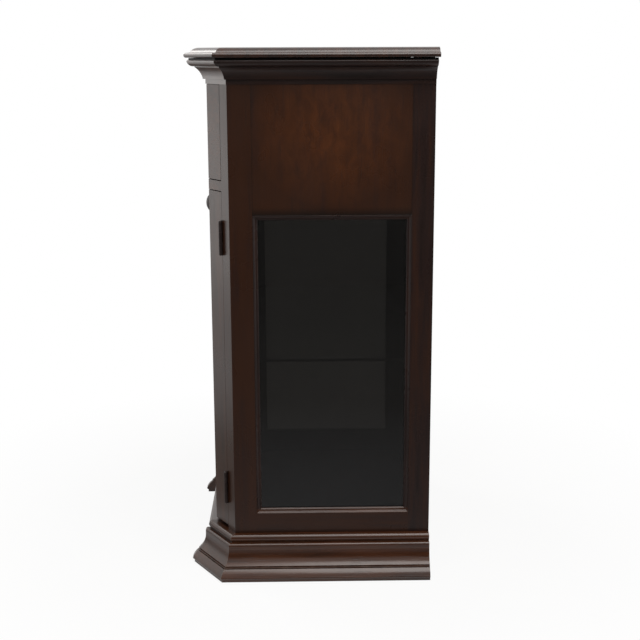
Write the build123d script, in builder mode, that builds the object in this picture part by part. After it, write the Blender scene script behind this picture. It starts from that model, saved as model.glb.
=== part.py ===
"""A jewelry armoire with canted front corners: lift lid, drawer and two glazed doors.

Millimetres. +Z is up, the front faces -Y, and the origin is on the floor under the
middle of the object's bounding box.
"""
import os
from math import hypot

from build123d import *

# Case: overall height, body width, depth of the side face and the cut of the canted corner
HEIGHT = 1018.5
CASE_W = 520.0
SIDE_D = 382.0
CANT_X = 67.0
CANT_Y = 41.0
BOARD = 20.0

# How far the base, crown and lid stand out from the case faces
BASE_OUT = 48.4
BASE_FORWARD = 0.8
LID_OUT = 40.4
LID_BACK = 3.0

# Levels
BASE_H = 84.0
DOOR_BOTTOM = 92.0
DOOR_TOP = 755.0
RAIL_BOTTOM = 756.8
RAIL_TOP = 775.2
DRAWER_BOTTOM = 777.0
DRAWER_TOP = 952.2
CROWN_BOTTOM = 953.0
CROWN_TOP = 996.7
CASE_TOP = 999.8
BACK_RAIL_TOP = 998.5
LID_BOTTOM = 1000.5
WELL_FLOOR = 953.0
WELL_FLOOR_T = 6.0
SHELF_Z = 423.0

# Boards of the base and the case
BASE_IN = 22.0
BOTTOM_T = 18.0
FOOT_RETURN = 2.0
APRON_LOW = 24.0
BACK_T = 8.0
RAIL_T = 20.0
ARRIS_R = 1.5
SHELF_T = 6.0
SHELF_FRONT_IN = 20.0
SHELF_LAP = 8.0
SHELF_PLAY = 1.0
SHELF_PIN_R = 2.5
SHELF_PIN_L = 16.0
SHELF_PIN_FRONT = 11.0
SHELF_PIN_REAR = 5.0
STOP_X = 150.0
STOP_T = 12.0
STOP_H = 16.0
STOP_GAP = 0.6
GUIDE_H = 24.0
GUIDE_PLAY = 1.0
RUNNER_LAP = 2.0
RUNNER_PLAY = 0.5
RUNNER_FRONT_IN = 12.0

# Side frame and its glass
STILE_W = 43.0
REAR_STILE_W = 41.0
GLASS_SILL = 124.0
GLASS_HEAD = 713.5
BEAD_W = 9.4
BEAD_DEPTH = 9.0
GLASS_T = 4.0
GLASS_PLAY = 0.5
STRIP_W = 8.0

# Joint between the corner post and the door or drawer, measured along the canted face
POST_JOINT = 28.0
POST_DEPTH = 22.0
JOINT_GAP = 0.7
DRAWER_GAP = 1.2

# Doors
MEETING_GAP = 2.0
MEETING_W = 43.0
DOOR_STILE_W = 30.0
DOOR_BOTTOM_RAIL = 54.0
DOOR_TOP_RAIL = 45.0
KNOB_D = 35.0
KNOB_OUT = 18.5
KNOB_Z = 710.0

# Door hinges: barrel, leaves, pin and the heights of their lower ends
BARREL_R = 3.6
BARREL_OUT = 3.9
HINGE_H = 67.0
HINGE_Z = (138.0, 635.0)
KNUCKLE_GAP = 0.5
LEAF_T = 1.2
LEAF_SUNK = 1.0
LEAF_IN = 17.0
LEAF_REACH = 1.6
PIN_R = 1.6
PIN_PLAY = 0.05
DOME_T = 1.2
SCREW_R = 1.5
SCREW_HEAD_R = 3.0
SCREW_L = 9.0
SCREW_IN = 10.0

# Lid hinges on the back of the case
LID_BARREL_R = 2.7
LID_AXIS_BACK = 3.0
LID_HINGE_W = 64.0
LID_HINGE_X = 150.0
LID_LEAF_T = 1.0
LID_LEAF_L = 24.0
LID_PIN_R = 1.1
LID_NOTCH = 3.4
NOTCH_PLAY = 1.0
LID_TAB = 1.8
LID_LAP = 2.0

# Drawer box
DRAWER_SIDE_T = 10.0
DRAWER_HALF_W = 221.0
DRAWER_L = 330.0
DRAWER_BOX_TOP = 929.0
DRAWER_BOX_BOTTOM = 779.0
DRAWER_FLOOR_Z = 783.0
DRAWER_FLOOR_T = 6.0
DRAWER_KNOB_D = 24.0
DRAWER_KNOB_OUT = 12.0

# Lid well
DIVIDER_T = 6.0
DIVIDER_H = 24.0
ROLL_D = 17.0
ROLL_COUNT = 7
ROLL_PITCH = 17.5
ROLL_END_GAP = 4.0
MIRROR_X = 210.0
MIRROR_FRONT_GAP = 6.0
MIRROR_BACK_GAP = 50.0
MIRROR_T = 4.0
MIRROR_FRAME_T = 9.0
MIRROR_FRAME_W = 22.0

# Plan of the case, worked out from the driving sizes
X_SIDE = CASE_W / 2
X_FRONT = X_SIDE - CANT_X
Y_CANT = (CANT_Y + BASE_FORWARD + BASE_OUT - SIDE_D - LID_AXIS_BACK - LID_BARREL_R) / 2
Y_FRONT = Y_CANT - CANT_Y
Y_BACK = Y_CANT + SIDE_D
Y_INNER = Y_FRONT + BOARD
X_INNER = X_SIDE - BOARD
CANT_L = hypot(CANT_X, CANT_Y)
ALONG = Vector(-CANT_X, -CANT_Y) / CANT_L
INTO = Vector(-CANT_Y, CANT_X) / CANT_L
OVERRUN = 90.0
HAIRLINE = 0.05
X_POST = X_SIDE + (ALONG * POST_JOINT + INTO * POST_DEPTH).X


def cant(along, depth):
    """Plan point on the right canted corner: along it from the side edge, and in from its face."""
    point = Vector(X_SIDE, Y_CANT) + ALONG * along + INTO * depth
    return (point.X, point.Y)


def bend(depth):
    """Plan point where front and canted corner meet, that far in from both faces."""
    along = (-CANT_Y + depth * (1 - INTO.Y)) / ALONG.Y
    return cant(along, depth)


def cant_y(x, depth):
    """Y at that x on a line that far in from the right canted face."""
    start_x, start_y = cant(0, depth)
    return start_y + (x - start_x) * ALONG.Y / ALONG.X


def flip(points):
    """Plan points on the left from the same points on the right."""
    return [(-x, y) for x, y in points]


def case_plan(inset, x_side, y_back):
    """Plan of a board inside the case, that far in from the front and the canted corners."""
    right = [bend(inset), (x_side, cant_y(x_side, inset)), (x_side, y_back)]
    return right + flip(reversed(right))


def notched_plan(front_points, y_back):
    """Plan of a board that runs between the side panels and is notched round the corner posts."""
    stile_back = Y_CANT + STILE_W
    right = front_points + [cant(POST_JOINT, POST_DEPTH), (X_POST, stile_back), (X_INNER, stile_back),
                            (X_INNER, y_back)]
    return right + flip(reversed(right))


def save(piece, name):
    """Label a finished piece and write its STEP file."""
    piece.part.label = name
    export_step(piece.part, f"parts/{name}.step")


def prism(points, bottom, top):
    """An upright solid with that plan."""
    with BuildPart() as solid:
        with BuildSketch(Plane.XY.offset(bottom)):
            Polygon(*points, align=None)
        extrude(amount=top - bottom)
    return solid


def board(x_range, y_range, z_range):
    """A square-edged board between those limits."""
    x0, x1 = x_range
    y0, y1 = y_range
    return prism([(x0, y0), (x1, y0), (x1, y1), (x0, y1)], *z_range)


def twin(piece):
    """The same piece on the left-hand side."""
    with BuildPart() as other:
        mirror(piece.part, about=Plane.YZ)
    return other


def group(*pieces):
    """Several separate solids that share one node."""
    with BuildPart() as together:
        for piece in pieces:
            add(piece.part)
    return together


def save_pair(piece, name):
    """Write a right-hand piece and its left-hand twin."""
    save(piece, f"{name}_right")
    save(twin(piece), f"{name}_left")


def mitred_length(start, end, across, start_cut, end_cut, profile, hairline=HAIRLINE):
    """One length of moulding, run from start to end and cut by a plane a hairline short of each end."""
    run = (end - start).normalized()
    section = Plane(origin=start - run * OVERRUN, x_dir=across, z_dir=run)
    with BuildPart() as length:
        with BuildSketch(section):
            add(profile)
        extrude(amount=(end - start).length + 2 * OVERRUN)
        split(bisect_by=Plane(origin=start, z_dir=start_cut).offset(hairline), keep=Keep.TOP)
        split(bisect_by=Plane(origin=end, z_dir=end_cut).offset(hairline), keep=Keep.TOP)
    return length


def run_lengths(profile, corners, hairline=HAIRLINE):
    """Lengths of moulding along a line of plan points, mitred where they meet and square at both ends."""
    corners = [Vector(*corner) for corner in corners]
    runs = [(end - start).normalized() for start, end in zip(corners, corners[1:])]
    cuts = [runs[0]] + [(a + b).normalized() for a, b in zip(runs, runs[1:])] + [runs[-1]]
    lengths = []
    for index, run in enumerate(runs):
        across = Vector(-run.Y, run.X)
        lengths.append(mitred_length(corners[index], corners[index + 1], across,
                                     cuts[index], -cuts[index + 1], profile, hairline))
    return lengths


def case_corners(y_back):
    """Plan points round the case, from the right back corner by the front to the left back corner."""
    right = [(X_SIDE, y_back), (X_SIDE, Y_CANT), (X_FRONT, Y_FRONT)]
    return right + flip(reversed(right))


def bead_frame(face, width, height, profile):
    """Four mitred lengths of bead inside an opening; the plane faces out at its lower left corner."""
    corners = [Vector(0, 0), Vector(width, 0), Vector(width, height), Vector(0, height)]
    lengths = []
    for index, start in enumerate(corners):
        end = corners[(index + 1) % 4]
        run = (end - start).normalized()
        inward = Vector(-run.Y, run.X)
        flat = mitred_length(start, end, inward, run - inward, -run - inward, profile)
        with BuildPart() as placed:
            add(face.location * flat.part)
        lengths.append(placed)
    return group(*lengths)


def pane(face, width, height, margin, front, back):
    """A flat sheet in an opening, between two depths behind the face."""
    with BuildPart() as sheet:
        with BuildSketch(face.offset(-back)):
            with Locations((width / 2, height / 2)):
                Rectangle(width - 2 * margin, height - 2 * margin)
        extrude(amount=back - front)
    return sheet


def glazing_strips(face, width, height, front, back):
    """The four plain strips that hold a pane from inside, butted at the corners."""
    rows = [(width / 2, STRIP_W / 2), (width / 2, height - STRIP_W / 2)]
    columns = [(STRIP_W / 2, height / 2), (width - STRIP_W / 2, height / 2)]
    with BuildPart() as strips:
        with BuildSketch(face.offset(-back)):
            with Locations(*rows):
                Rectangle(width, STRIP_W)
        extrude(amount=back - front)
    with BuildPart() as uprights:
        with BuildSketch(face.offset(-back)):
            with Locations(*columns):
                Rectangle(STRIP_W, height - 2 * STRIP_W - 2 * HAIRLINE)
        extrude(amount=back - front)
    return group(strips, uprights)


def turned_knob(x, z, diameter, reach):
    """A turned knob on the front: a short stem that swells to a rim, with a domed face."""
    radius = diameter / 2
    stem = 0.45 * radius
    neck = 0.25 * reach
    rim = 0.6 * reach
    with BuildPart() as knob:
        with BuildSketch(Plane(origin=(x, Y_FRONT, z), x_dir=(1, 0, 0), z_dir=(0, 0, -1))):
            with BuildLine():
                Polyline((0, reach), (0, 0), (stem, 0), (stem, neck))
                ThreePointArc((stem, neck), (0.84 * radius, 0.37 * reach), (radius, rim))
                TangentArc((0, reach), (radius, rim), tangent=(1, 0))
            make_face()
        revolve(axis=Axis((x, Y_FRONT, z), (0, -1, 0)))
    return knob


def cylinder(start, direction, radius, length):
    """A round bar from a point, along a direction."""
    with BuildPart() as bar:
        with BuildSketch(Plane(origin=start, z_dir=direction)):
            Circle(radius)
        extrude(amount=length)
    return bar


def cut(piece, *tools):
    """A piece with the shapes of others taken out of it."""
    with BuildPart() as rest:
        add(piece.part)
        for tool in tools:
            add(tool.part, mode=Mode.SUBTRACT)
    return rest


os.makedirs("parts", exist_ok=True)

# Base: moulded sides and corner feet with a bead, a cove and a sloping plinth, and an apron set back
# between them
BEAD_LOW = 69.0
COVE_LOW = 28.6
FILLET_LOW = 25.0
SLOPE_TOP = 23.4
NOSE_Z = 8.6
TOE_OUT = 45.0
TOE_H = 5.4
with BuildSketch() as base_profile:
    with BuildLine():
        Polyline((10, BASE_H), (-BASE_IN, BASE_H), (-BASE_IN, 0), (TOE_OUT, 0), (TOE_OUT, TOE_H),
                 (BASE_OUT - 1.4, 6.4))
        ThreePointArc((BASE_OUT - 1.4, 6.4), (BASE_OUT, NOSE_Z), (BASE_OUT - 0.8, 11))
        ThreePointArc((BASE_OUT - 0.8, 11), (43.4, 17.7), (37.4, SLOPE_TOP))
        Polyline((37.4, SLOPE_TOP), (35, SLOPE_TOP), (35, FILLET_LOW), (36.2, FILLET_LOW), (36.2, 26.8),
                 (33, 26.8), (33, COVE_LOW), (34.2, COVE_LOW))
        ThreePointArc((34.2, COVE_LOW), (25, 41.5), (21.6, 57))
        Line((21.6, 57), (21.6, BEAD_LOW - 4.6))
        ThreePointArc((21.6, BEAD_LOW - 4.6), (20.4, BEAD_LOW - 1.6), (17.6, BEAD_LOW))
        Polyline((17.6, BEAD_LOW), (11.6, BEAD_LOW), (11.6, BEAD_LOW + 2))
        ThreePointArc((11.6, BEAD_LOW + 2), (14.8, 77.6), (10, BASE_H))
    make_face()
base_corner = (X_FRONT - BASE_FORWARD * CANT_X / CANT_Y, Y_FRONT - BASE_FORWARD)
foot_end = (base_corner[0] - FOOT_RETURN, base_corner[1])
base_line = [(X_SIDE, Y_BACK), (X_SIDE, Y_CANT), base_corner, foot_end]
side_length = run_lengths(base_profile.sketch, base_line[:3])[0]
foot_lengths = run_lengths(base_profile.sketch, base_line, hairline=0)[1:]
with BuildPart() as foot_corner:
    add(foot_lengths[0].part)
    split(bisect_by=Plane(origin=(*foot_end, 0), z_dir=(1, 0, 0)), keep=Keep.TOP)
foot = group(foot_corner, foot_lengths[1])
save(group(foot, twin(foot)), "base_corner_feet")
save(group(side_length, twin(side_length)), "base_sides")

apron_in = BASE_IN + BASE_FORWARD
with BuildSketch() as apron_profile:
    with BuildLine():
        Polyline((10, BASE_H), (-apron_in, BASE_H), (-apron_in, APRON_LOW), (0, APRON_LOW), (0, BEAD_LOW),
                 (11.6, BEAD_LOW), (11.6, BEAD_LOW + 2))
        ThreePointArc((11.6, BEAD_LOW + 2), (14.8, 77.6), (10, BASE_H))
    make_face()
save(run_lengths(apron_profile.sketch, [foot_end, *flip([foot_end])])[0], "base_apron")

base_inner_x = X_SIDE - BASE_IN
save(board((-base_inner_x, base_inner_x), (Y_BACK - RAIL_T, Y_BACK), (0, BASE_H)), "base_back_rail")
save(prism(case_plan(BASE_IN, base_inner_x, Y_BACK - RAIL_T), BASE_H - BOTTOM_T, BASE_H), "bottom_board")

# Lower carcass: posts, rear stiles, rails and panels of the sides, and the back
post_plan = [(X_SIDE, Y_CANT), (X_SIDE, Y_CANT + STILE_W), (X_POST, Y_CANT + STILE_W),
             cant(POST_JOINT, POST_DEPTH), cant(POST_JOINT, 0)]
Y_REAR_STILE = Y_BACK - REAR_STILE_W
side_y = (Y_CANT + STILE_W, Y_REAR_STILE)
side_x = (X_INNER, X_SIDE)

pin_z = SHELF_Z - SHELF_PIN_R
front_pin = cylinder((X_POST - SHELF_PIN_L / 2, Y_CANT + STILE_W - SHELF_PIN_FRONT, pin_z), (1, 0, 0),
                     SHELF_PIN_R, SHELF_PIN_L)
rear_pin = cylinder((X_INNER - SHELF_PIN_L, Y_REAR_STILE + SHELF_PIN_REAR, pin_z), (1, 0, 0),
                    SHELF_PIN_R, 1.5 * SHELF_PIN_L)
save(group(front_pin, rear_pin, twin(front_pin), twin(rear_pin)), "shelf_pins")
shelf_x = X_POST - SHELF_PLAY
save(board((-shelf_x, shelf_x), (Y_CANT + SHELF_FRONT_IN, Y_REAR_STILE + SHELF_LAP),
           (SHELF_Z, SHELF_Z + SHELF_T)), "glass_shelf")

# Joint faces of post and door: planes looking into the gap, with height as x and depth as y
POST_FACE = Plane(origin=(*cant(POST_JOINT, 0), 0), x_dir=(0, 0, 1), z_dir=(ALONG.X, ALONG.Y, 0))
DOOR_FACE = Plane(origin=(*cant(POST_JOINT + JOINT_GAP, 0), 0), x_dir=(0, 0, 1),
                  z_dir=(-ALONG.X, -ALONG.Y, 0))
HINGE_AXIS = cant(POST_JOINT + JOINT_GAP / 2, -BARREL_OUT)
KNUCKLE_H = (HINGE_H - 2 * KNUCKLE_GAP) / 3


def knuckle(low, index):
    """Lower and upper height of one of the three knuckles of a hinge."""
    bottom = low + index * (KNUCKLE_H + KNUCKLE_GAP)
    return (bottom, bottom + KNUCKLE_H)


def barrel(low, index):
    """One knuckle of a hinge, domed where it ends the barrel."""
    bottom, top = knuckle(low, index)
    domes = []
    if index == 0:
        bottom += BARREL_R
        domes.append(bottom)
    if index == 2:
        top -= BARREL_R
        domes.append(top)
    with BuildPart() as round_bar:
        add(cylinder((*HINGE_AXIS, bottom), (0, 0, 1), BARREL_R, top - bottom).part)
        for dome in domes:
            with Locations((*HINGE_AXIS, dome)):
                Sphere(BARREL_R)
    return round_bar


def leaf_pockets(face, inward):
    """The shallow mortises for both hinge leaves in a joint face."""
    with BuildPart() as pockets:
        for low in HINGE_Z:
            with BuildSketch(face):
                with Locations((low + HINGE_H / 2, inward * LEAF_IN / 2)):
                    Rectangle(HINGE_H, LEAF_IN)
            extrude(amount=-LEAF_SUNK)
    return pockets


def leaf_screws(face, inward):
    """Three countersunk screws through each hinge leaf."""
    surface = face.offset(LEAF_T - LEAF_SUNK)
    down = (Align.CENTER, Align.CENTER, Align.MAX)
    with BuildPart(surface) as screws:
        for low in HINGE_Z:
            with Locations(*[(low + share * HINGE_H, inward * SCREW_IN) for share in (0.18, 0.5, 0.82)]):
                Cone(SCREW_R, SCREW_HEAD_R, SCREW_HEAD_R - SCREW_R, align=down)
                Cylinder(SCREW_R, SCREW_L, align=down)
    return screws


def hinge_leaves(face, inward, knuckles, screws):
    """Both hinge leaves on a joint face, with those knuckles of the barrel and holes for the screws."""
    with BuildPart() as leaves:
        for low in HINGE_Z:
            with BuildSketch(face.offset(-LEAF_SUNK)):
                with Locations((low + HINGE_H / 2, inward * LEAF_IN / 2)):
                    Rectangle(HINGE_H, LEAF_IN)
                for index in knuckles:
                    bottom, top = knuckle(low, index)
                    with Locations(((bottom + top) / 2, -inward * LEAF_REACH / 2)):
                        Rectangle(top - bottom, LEAF_REACH)
            extrude(amount=LEAF_T)
            for index in knuckles:
                add(barrel(low, index).part)
            bore = cylinder((*HINGE_AXIS, low + DOME_T), (0, 0, 1), PIN_R + PIN_PLAY, HINGE_H - 2 * DOME_T)
            add(bore.part, mode=Mode.SUBTRACT)
        add(screws.part, mode=Mode.SUBTRACT)
    return leaves


case_screws = leaf_screws(POST_FACE, 1)
case_leaves = hinge_leaves(POST_FACE, 1, (0, 2), case_screws)
pin_start = DOME_T + PIN_PLAY
pins = group(*[cylinder((*HINGE_AXIS, low + pin_start), (0, 0, 1), PIN_R, HINGE_H - 2 * pin_start)
               for low in HINGE_Z])
save(group(case_screws, twin(case_screws)), "hinge_screws")
save(group(case_leaves, twin(case_leaves)), "case_hinge_leaves")

post = cut(prism(post_plan, BASE_H, CASE_TOP), leaf_pockets(POST_FACE, 1), case_screws, front_pin)
with BuildPart() as corner_post:
    add(post.part)
    fillet(corner_post.edges().filter_by(Axis.Z).group_by(Axis.X)[-1].sort_by(Axis.Y)[0], ARRIS_R)
save_pair(corner_post, "corner_post")

rear_stile = cut(board(side_x, (Y_REAR_STILE, Y_BACK), (BASE_H, CASE_TOP)), rear_pin)
save(group(rear_stile, twin(rear_stile)), "rear_stiles")
side_rail = board(side_x, side_y, (BASE_H, GLASS_SILL))
save(group(side_rail, twin(side_rail)), "side_bottom_rails")
save_pair(board(side_x, side_y, (GLASS_HEAD, CASE_TOP)), "side_panel")

save(board((-X_INNER, X_INNER), (Y_BACK - BACK_T, Y_BACK), (BASE_H, WELL_FLOOR)), "back_panel")
save(board((-X_INNER, X_INNER), (Y_BACK - RAIL_T, Y_BACK), (WELL_FLOOR, BACK_RAIL_TOP)), "back_top_rail")

# Glazing: a bead that slopes down to the pane, with a lip at each edge and a hollow between, and plain
# strips inside it
with BuildSketch() as bead_profile:
    with BuildLine():
        Polyline((BEAD_W, -6.8), (BEAD_W, -BEAD_DEPTH), (0, -BEAD_DEPTH), (0, -0.6))
        ThreePointArc((0, -0.6), (0.3, -0.1), (0.9, 0))
        Line((0.9, 0), (2.6, -2.0))
        ThreePointArc((2.6, -2.0), (4.4, -3.7), (6.6, -4.3))
        Polyline((6.6, -4.3), (7.3, -4.2), (BEAD_W, -6.8))
    make_face()


def glazed(face, width, height):
    """The pane of an opening, and the beads and strips that hold it."""
    behind = BEAD_DEPTH + GLASS_T
    glass = pane(face, width, height, GLASS_PLAY, BEAD_DEPTH, behind)
    beads = bead_frame(face, width, height, bead_profile.sketch)
    return glass, group(beads, glazing_strips(face, width, height, behind, BOARD))


side_face = Plane(origin=(X_SIDE, side_y[0], GLASS_SILL), x_dir=(0, 1, 0), z_dir=(1, 0, 0))
side_glass, side_beads = glazed(side_face, side_y[1] - side_y[0], GLASS_HEAD - GLASS_SILL)
save_pair(side_glass, "side_glass")
save_pair(side_beads, "side_beads")

# Rail and dust board between doors and drawer, with a stop for the doors and runners for the drawer
dust_plan = notched_plan([(X_FRONT, Y_FRONT), cant(POST_JOINT, 0)], Y_BACK - BACK_T)
save(prism(dust_plan, RAIL_BOTTOM, RAIL_TOP), "dust_board")
stop_y = Y_INNER + STOP_GAP
save(board((-STOP_X, STOP_X), (stop_y, stop_y + STOP_T), (RAIL_BOTTOM - STOP_H, RAIL_BOTTOM)), "door_stop")

run_y = (Y_CANT + RUNNER_FRONT_IN, Y_BACK - BACK_T)
runner_x = (DRAWER_HALF_W - DRAWER_SIDE_T - RUNNER_LAP, DRAWER_HALF_W + GUIDE_PLAY)
runner = board(runner_x, run_y, (RAIL_TOP, DRAWER_BOX_BOTTOM - RUNNER_PLAY))
guide = board((runner_x[1] + HAIRLINE, X_POST), run_y, (RAIL_TOP, RAIL_TOP + GUIDE_H))
save(group(runner, guide, twin(runner), twin(guide)), "drawer_runners")

# Frieze, crown and the floor of the well under the lid
frieze_front = prism([(X_FRONT - HAIRLINE, Y_FRONT), (bend(BOARD)[0] - HAIRLINE, Y_INNER),
                      (HAIRLINE - bend(BOARD)[0], Y_INNER), (HAIRLINE - X_FRONT, Y_FRONT)],
                     CROWN_BOTTOM, CASE_TOP)
frieze_corner = prism([cant(POST_JOINT, 0), (X_FRONT, Y_FRONT), bend(BOARD), cant(POST_JOINT, BOARD)],
                      CROWN_BOTTOM, CASE_TOP)
save(group(frieze_front, frieze_corner, twin(frieze_corner)), "frieze")

CROWN_FILLET_TOP = 961.8
CROWN_COVE_TOP = 983.4
CROWN_NOSE = 35.0
CROWN_LIP = 31.4
with BuildSketch() as crown_profile:
    with BuildLine():
        Polyline((32.6, CROWN_TOP), (CROWN_LIP, CROWN_TOP), (CROWN_LIP, CASE_TOP), (0, CASE_TOP),
                 (0, CROWN_BOTTOM), (1.6, CROWN_BOTTOM),
                 (1.6, CROWN_FILLET_TOP), (6.2, CROWN_FILLET_TOP))
        ThreePointArc((6.2, CROWN_FILLET_TOP), (11.3, 974.2), (21, CROWN_COVE_TOP))
        Polyline((21, CROWN_COVE_TOP), (21, CROWN_COVE_TOP + 1.4), (24.5, CROWN_COVE_TOP + 1.4))
        ThreePointArc((24.5, CROWN_COVE_TOP + 1.4), (31.6, 988), (CROWN_NOSE, 993.2))
        ThreePointArc((CROWN_NOSE, 993.2), (34.6, 995.6), (32.6, CROWN_TOP))
    make_face()
crown_lengths = run_lengths(crown_profile.sketch, case_corners(Y_BACK))
side_right, corner_right, front, corner_left, side_left = crown_lengths
save(front, "crown_front")
save(group(corner_right, corner_left), "crown_corners")
save(group(side_right, side_left), "crown_sides")
well_z = WELL_FLOOR + WELL_FLOOR_T
save(prism(notched_plan([bend(BOARD)], Y_BACK - RAIL_T), WELL_FLOOR, well_z), "well_floor")

# Padded ring rolls and dividers on the floor of the well
divider_z = (well_z, well_z + DIVIDER_H)
well_back = Y_BACK - RAIL_T
half = DIVIDER_T / 2
rolls = []
for index in range(ROLL_COUNT):
    roll_y = well_back - ROLL_PITCH * (index + 0.5)
    roll_start = (half + ROLL_END_GAP - X_INNER, roll_y, well_z + ROLL_D / 2)
    rolls.append(cylinder(roll_start, (1, 0, 0), ROLL_D / 2, X_INNER - 2 * half - 2 * ROLL_END_GAP))
save(group(*rolls), "ring_rolls")

rolls_front = well_back - ROLL_PITCH * ROLL_COUNT
spine = board((-half, half), (Y_INNER, well_back), divider_z)
left_strip = board((-X_INNER, -half - HAIRLINE), (rolls_front - DIVIDER_T, rolls_front), divider_z)
right_strips = []
for share in (1 / 3, 2 / 3):
    strip_y = Y_INNER + share * (well_back - Y_INNER)
    right_strips.append(board((half + HAIRLINE, X_INNER), (strip_y - half, strip_y + half), divider_z))
save(group(spine, left_strip, *right_strips), "well_dividers")

# Doors: a stile bent round the corner, a meeting stile, two rails, glazing and knobs
DOOR_ALONG = POST_JOINT + JOINT_GAP
stile_x = X_FRONT - DOOR_STILE_W
stile_plan = [cant(DOOR_ALONG, 0), (X_FRONT, Y_FRONT), (stile_x, Y_FRONT), (stile_x, Y_INNER),
              bend(BOARD), cant(DOOR_ALONG, BOARD)]
door_screws = leaf_screws(DOOR_FACE, -1)
plain_stile = cut(prism(stile_plan, DOOR_BOTTOM, DOOR_TOP), leaf_pockets(DOOR_FACE, -1), door_screws)
with BuildPart() as door_stile:
    add(plain_stile.part)
    corner = door_stile.edges().filter_by(Axis.Z).filter_by_position(Axis.Y, Y_FRONT - 1, Y_FRONT + 1)
    fillet(corner.sort_by(Axis.X)[-1], ARRIS_R)
save_pair(door_stile, "door_stile")
save_pair(hinge_leaves(DOOR_FACE, -1, (1,), door_screws), "door_hinge_leaves")
save_pair(door_screws, "door_hinge_screws")

front_y = (Y_FRONT, Y_INNER)
meeting_x = (MEETING_GAP / 2, MEETING_GAP / 2 + MEETING_W)
meeting_stile = board(meeting_x, front_y, (DOOR_BOTTOM, DOOR_TOP))
with BuildPart() as door_meeting_stile:
    add(meeting_stile.part)
    fillet(door_meeting_stile.edges().filter_by(Axis.Z).sort_by(Axis.Y)[:2].sort_by(Axis.X)[0], ARRIS_R)
save_pair(door_meeting_stile, "door_meeting_stile")

rail_x = (meeting_x[1], stile_x)
sill_z = DOOR_BOTTOM + DOOR_BOTTOM_RAIL
head_z = DOOR_TOP - DOOR_TOP_RAIL
door_rails = group(board(rail_x, front_y, (DOOR_BOTTOM, sill_z)), board(rail_x, front_y, (head_z, DOOR_TOP)))
save_pair(door_rails, "door_rails")

door_face = Plane(origin=(rail_x[0], Y_FRONT, sill_z), x_dir=(1, 0, 0), z_dir=(0, -1, 0))
door_glass, door_beads = glazed(door_face, rail_x[1] - rail_x[0], head_z - sill_z)
save_pair(door_glass, "door_glass")
save_pair(door_beads, "door_beads")

save_pair(turned_knob(sum(meeting_x) / 2, KNOB_Z, KNOB_D, KNOB_OUT), "door_knob")

# Drawer: a faceted front with canted returns, and its box
DRAWER_ALONG = POST_JOINT + DRAWER_GAP
front_right = [cant(DRAWER_ALONG, 0), (X_FRONT, Y_FRONT)]
back_right = [bend(BOARD), cant(DRAWER_ALONG, BOARD)]
drawer_plan = front_right + flip(reversed(front_right)) + flip(reversed(back_right)) + back_right
faceted = prism(drawer_plan, DRAWER_BOTTOM, DRAWER_TOP)
with BuildPart() as drawer_front:
    add(faceted.part)
    bends = drawer_front.edges().filter_by(Axis.Z).filter_by_position(Axis.Y, Y_FRONT - 1, Y_FRONT + 1)
    fillet(bends, ARRIS_R)
save(drawer_front, "drawer_front")

drawer_in = DRAWER_HALF_W - DRAWER_SIDE_T
drawer_back = Y_INNER + DRAWER_L
side_plan = [(drawer_in, cant_y(drawer_in, BOARD)), (DRAWER_HALF_W, cant_y(DRAWER_HALF_W, BOARD)),
             (DRAWER_HALF_W, drawer_back), (drawer_in, drawer_back)]
drawer_side = prism(side_plan, DRAWER_BOX_BOTTOM, DRAWER_BOX_TOP)
save(group(drawer_side, twin(drawer_side)), "drawer_sides")
drawer_floor_top = DRAWER_FLOOR_Z + DRAWER_FLOOR_T
save(prism(case_plan(BOARD, drawer_in, drawer_back), DRAWER_FLOOR_Z, drawer_floor_top), "drawer_bottom")
save(board((-drawer_in, drawer_in), (drawer_back - DRAWER_SIDE_T, drawer_back),
           (drawer_floor_top, DRAWER_BOX_TOP)), "drawer_back")
drawer_middle = (DRAWER_BOTTOM + DRAWER_TOP) / 2
save(turned_knob(0, drawer_middle, DRAWER_KNOB_D, DRAWER_KNOB_OUT), "drawer_knob")

# Lid: a slab with a moulded edge, notched over the hinge barrels at the back
Y_LID_AXIS = Y_BACK + LID_AXIS_BACK
Z_LID_AXIS = (BACK_RAIL_TOP + LID_BOTTOM) / 2
with BuildSketch() as lid_profile:
    with BuildLine():
        Polyline((12, HEIGHT), (-2 * LID_LAP, HEIGHT), (-2 * LID_LAP, LID_BOTTOM), (36.4, LID_BOTTOM))
        ThreePointArc((36.4, LID_BOTTOM), (LID_OUT, LID_BOTTOM + 4.2), (36.4, LID_BOTTOM + 8.6))
        Polyline((36.4, LID_BOTTOM + 8.6), (30, LID_BOTTOM + 9.4), (29.4, LID_BOTTOM + 10))
        TangentArc((12, HEIGHT), (29.4, LID_BOTTOM + 10), tangent=(1, 0))
    make_face()
lid_y = Y_BACK + LID_BACK
lid_core = prism(case_plan(LID_LAP, X_SIDE - LID_LAP, lid_y), LID_BOTTOM, HEIGHT)
lid_slab = group(lid_core, *run_lengths(lid_profile.sketch, case_corners(lid_y), hairline=0))
notch_w = LID_HINGE_W / 2 + NOTCH_PLAY
notch = board((LID_HINGE_X - notch_w, LID_HINGE_X + notch_w), (Y_LID_AXIS - LID_NOTCH, lid_y + NOTCH_PLAY),
              (LID_BOTTOM - NOTCH_PLAY, Z_LID_AXIS + LID_NOTCH))
save(cut(lid_slab, notch, twin(notch)), "lid")

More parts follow.
